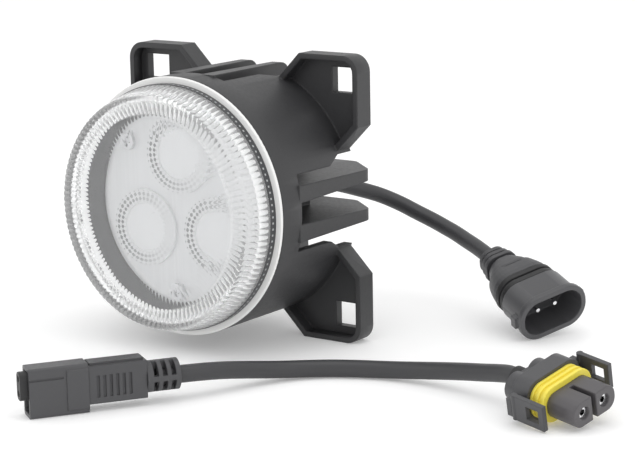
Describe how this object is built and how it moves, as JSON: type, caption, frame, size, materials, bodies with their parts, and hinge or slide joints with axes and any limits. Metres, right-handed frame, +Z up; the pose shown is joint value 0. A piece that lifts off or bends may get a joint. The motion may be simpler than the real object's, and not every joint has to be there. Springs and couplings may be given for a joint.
{
  "type": "fog lamp",
  "caption": "Round LED fog lamp with a fluted clear lens, finned cast body, square-holed mounting ears, a pigtail plug and a separate adapter lead.",
  "frame": {"origin": "on the optical axis, in the plane of the rear faces of the four mounting ears", "axes": "+Z up; the lamp faces -Y, so +Y points to the rear of the lamp"},
  "size_m": [0.2187, 0.201, 0.101],
  "materials": {
    "clear_lens": "clear moulded polycarbonate, fluted edge",
    "ring_black": "satin black ring",
    "seal_white": "smooth white silicone",
    "bezel_grey": "satin dark grey plastic",
    "cast_black": "satin black powder coat on die-cast aluminium",
    "plate_silver": "fine brushed aluminium",
    "clear_optic": "clear moulded optic",
    "screw_steel": "zinc plated steel",
    "board_white": "white solder mask",
    "emitter": "yellow phosphor under clear dome",
    "pad_grey": "matte thermal pad",
    "spreader": "turned aluminium",
    "wire_red": "smooth insulation",
    "board_green": "green solder mask",
    "parts_dark": "moulded component packages",
    "cover_black": "fine textured black plastic",
    "gasket_grey": "matte rubber",
    "vent_grey": "smooth light grey plastic",
    "gland_black": "matte black rubber",
    "cable_black": "satin black cable jacket",
    "boot_grey": "satin black overmould",
    "band_black": "matte black rubber bands",
    "shell_grey": "satin black glass-filled plastic",
    "pin_tin": "bright tin plate",
    "hood_grey": "satin charcoal plastic",
    "insert_black": "matte black plastic",
    "contact_gold": "plated brass",
    "seal_yellow": "smooth yellow silicone",
    "nose_grey": "satin charcoal plastic"
  },
  "bodies": {
    "lamp": {"lens": "clear_lens", "lens_ring": "ring_black", "lens_seal": "seal_white", "inner_ring": "seal_white", "inner_bezel": "bezel_grey", "housing": "cast_black", "optic_holder": "plate_silver", "optic_top": "clear_optic", "optic_left": "clear_optic", "optic_right": "clear_optic", "holder_screws": "screw_steel", "led_board": "board_white", "led_emitters": "emitter", "thermal_pad": "pad_grey", "heat_spreader": "spreader", "led_wires": "wire_red", "driver_board": "board_green", "driver_parts": "parts_dark", "driver_screws": "screw_steel", "supply_wires": "wire_red", "rear_cover": "cover_black", "cover_gasket": "gasket_grey", "cover_screws": "screw_steel", "breather_vent": "vent_grey", "cable_gland": "gland_black", "pigtail_cable": "cable_black", "plug_boot": "boot_grey", "plug_seal": "band_black", "plug_shell": "shell_grey", "plug_pins": "pin_tin"},
    "adapter": {"lead_cable": "cable_black", "hood_shell": "hood_grey", "hood_insert": "insert_black", "hood_contacts": "contact_gold", "hood_grip": "boot_grey", "hood_relief": "boot_grey", "socket_body": "hood_grey", "socket_collar": "gland_black", "socket_seal": "seal_yellow", "socket_nose": "nose_grey", "socket_terminals": "pin_tin"},
    "latch_left": {"latch_left": "hood_grey"},
    "latch_right": {"latch_right": "hood_grey"}
  },
  "joints": [
    {"name": "adapter_lift", "type": "slide", "parent": "lamp", "child": "adapter", "axis": [0, 0, 1], "range_m": [0, 0.1]},
    {"name": "latch_left_hinge", "type": "hinge", "parent": "adapter", "child": "latch_left", "pos_m": [0.15144, -0.03402, -0.03745], "axis": [0.0462, -0.2849, 0.9574], "range_deg": [0, 6], "stiffness_Nm_per_rad": 0.05},
    {"name": "latch_right_hinge", "type": "hinge", "parent": "adapter", "child": "latch_right", "pos_m": [0.14415, -0.06162, -0.04531], "axis": [-0.0462, 0.2849, -0.9574], "range_deg": [0, 6], "stiffness_Nm_per_rad": 0.05}
  ]
}
